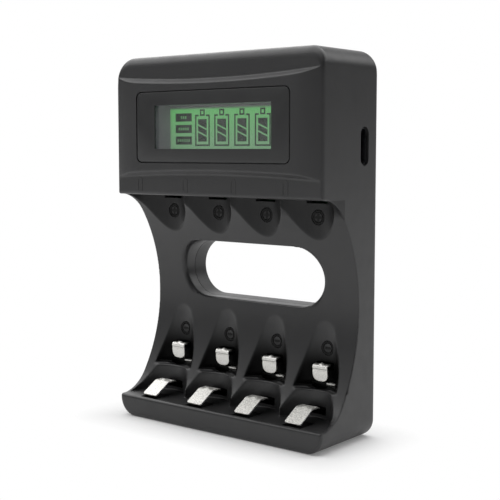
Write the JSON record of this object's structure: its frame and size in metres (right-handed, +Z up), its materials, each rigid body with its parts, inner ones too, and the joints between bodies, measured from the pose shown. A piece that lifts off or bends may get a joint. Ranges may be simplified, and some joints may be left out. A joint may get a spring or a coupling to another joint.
{
  "type": "aa battery charger",
  "caption": "Upright charger for AA and AAA cells with a display head, scalloped bays, sprung leaf contacts, a handle hole and a USB port in its side.",
  "frame": {"origin": "middle of the footprint on the table, under the body", "axes": "+Z up, -Y out of the front with the bays, +X to the side with the port"},
  "size_m": [0.065, 0.0248, 0.094],
  "materials": {
    "shell_abs": "fine moulded texture, satin",
    "lens_acrylic": "clear window with a dark printed border",
    "frame_grey": "moulded",
    "lcd": "lit display glass",
    "backlight": "diffusing",
    "board": "solder mask",
    "chip_black": "moulded",
    "ferrite": "sintered",
    "can": "drawn can",
    "nickel": "nickel plated strip",
    "screw_steel": "zinc plated"
  },
  "bodies": {
    "root": {"front_shell": "shell_abs", "rear_cover": "shell_abs", "display_lens": "lens_acrylic", "lcd_frame": "frame_grey", "lcd_glass": "lcd", "backlight_panel": "backlight", "lcd_pins": "nickel", "main_board": "board", "controller_chip": "chip_black", "charge_transistors": "chip_black", "power_inductor": "ferrite", "filter_capacitors": "can", "sense_resistors": "chip_black", "usb_shell": "nickel", "usb_tongue": "chip_black", "cover_screws": "screw_steel", "board_screws": "screw_steel", "positive_contact_1": "nickel", "positive_contact_2": "nickel", "positive_contact_3": "nickel", "positive_contact_4": "nickel", "negative_terminal_1": "nickel", "negative_terminal_2": "nickel", "negative_terminal_3": "nickel", "negative_terminal_4": "nickel"},
    "aa_leaf_1": {"aa_contact_1": "nickel"},
    "aaa_leaf_1": {"aaa_contact_1": "nickel"},
    "aa_leaf_2": {"aa_contact_2": "nickel"},
    "aaa_leaf_2": {"aaa_contact_2": "nickel"},
    "aa_leaf_3": {"aa_contact_3": "nickel"},
    "aaa_leaf_3": {"aaa_contact_3": "nickel"},
    "aa_leaf_4": {"aa_contact_4": "nickel"},
    "aaa_leaf_4": {"aaa_contact_4": "nickel"}
  },
  "joints": [
    {"name": "aa_leaf_1_flex", "type": "hinge", "parent": "root", "child": "aa_leaf_1", "pos_m": [-0.02325, 0.00208, 0.0076], "axis": [1, 0, 0], "range_deg": [0, 14], "stiffness_Nm_per_rad": 0.1},
    {"name": "aaa_leaf_1_flex", "type": "hinge", "parent": "root", "child": "aaa_leaf_1", "pos_m": [-0.02325, 0.00713, 0.0144], "axis": [1, 0, 0], "range_deg": [0, 24], "stiffness_Nm_per_rad": 0.04},
    {"name": "aa_leaf_2_flex", "type": "hinge", "parent": "root", "child": "aa_leaf_2", "pos_m": [-0.00775, 0.00208, 0.0076], "axis": [1, 0, 0], "range_deg": [0, 14], "stiffness_Nm_per_rad": 0.1},
    {"name": "aaa_leaf_2_flex", "type": "hinge", "parent": "root", "child": "aaa_leaf_2", "pos_m": [-0.00775, 0.00713, 0.0144], "axis": [1, 0, 0], "range_deg": [0, 24], "stiffness_Nm_per_rad": 0.04},
    {"name": "aa_leaf_3_flex", "type": "hinge", "parent": "root", "child": "aa_leaf_3", "pos_m": [0.00775, 0.00208, 0.0076], "axis": [1, 0, 0], "range_deg": [0, 14], "stiffness_Nm_per_rad": 0.1},
    {"name": "aaa_leaf_3_flex", "type": "hinge", "parent": "root", "child": "aaa_leaf_3", "pos_m": [0.00775, 0.00713, 0.0144], "axis": [1, 0, 0], "range_deg": [0, 24], "stiffness_Nm_per_rad": 0.04},
    {"name": "aa_leaf_4_flex", "type": "hinge", "parent": "root", "child": "aa_leaf_4", "pos_m": [0.02325, 0.00208, 0.0076], "axis": [1, 0, 0], "range_deg": [0, 14], "stiffness_Nm_per_rad": 0.1},
    {"name": "aaa_leaf_4_flex", "type": "hinge", "parent": "root", "child": "aaa_leaf_4", "pos_m": [0.02325, 0.00713, 0.0144], "axis": [1, 0, 0], "range_deg": [0, 24], "stiffness_Nm_per_rad": 0.04}
  ]
}
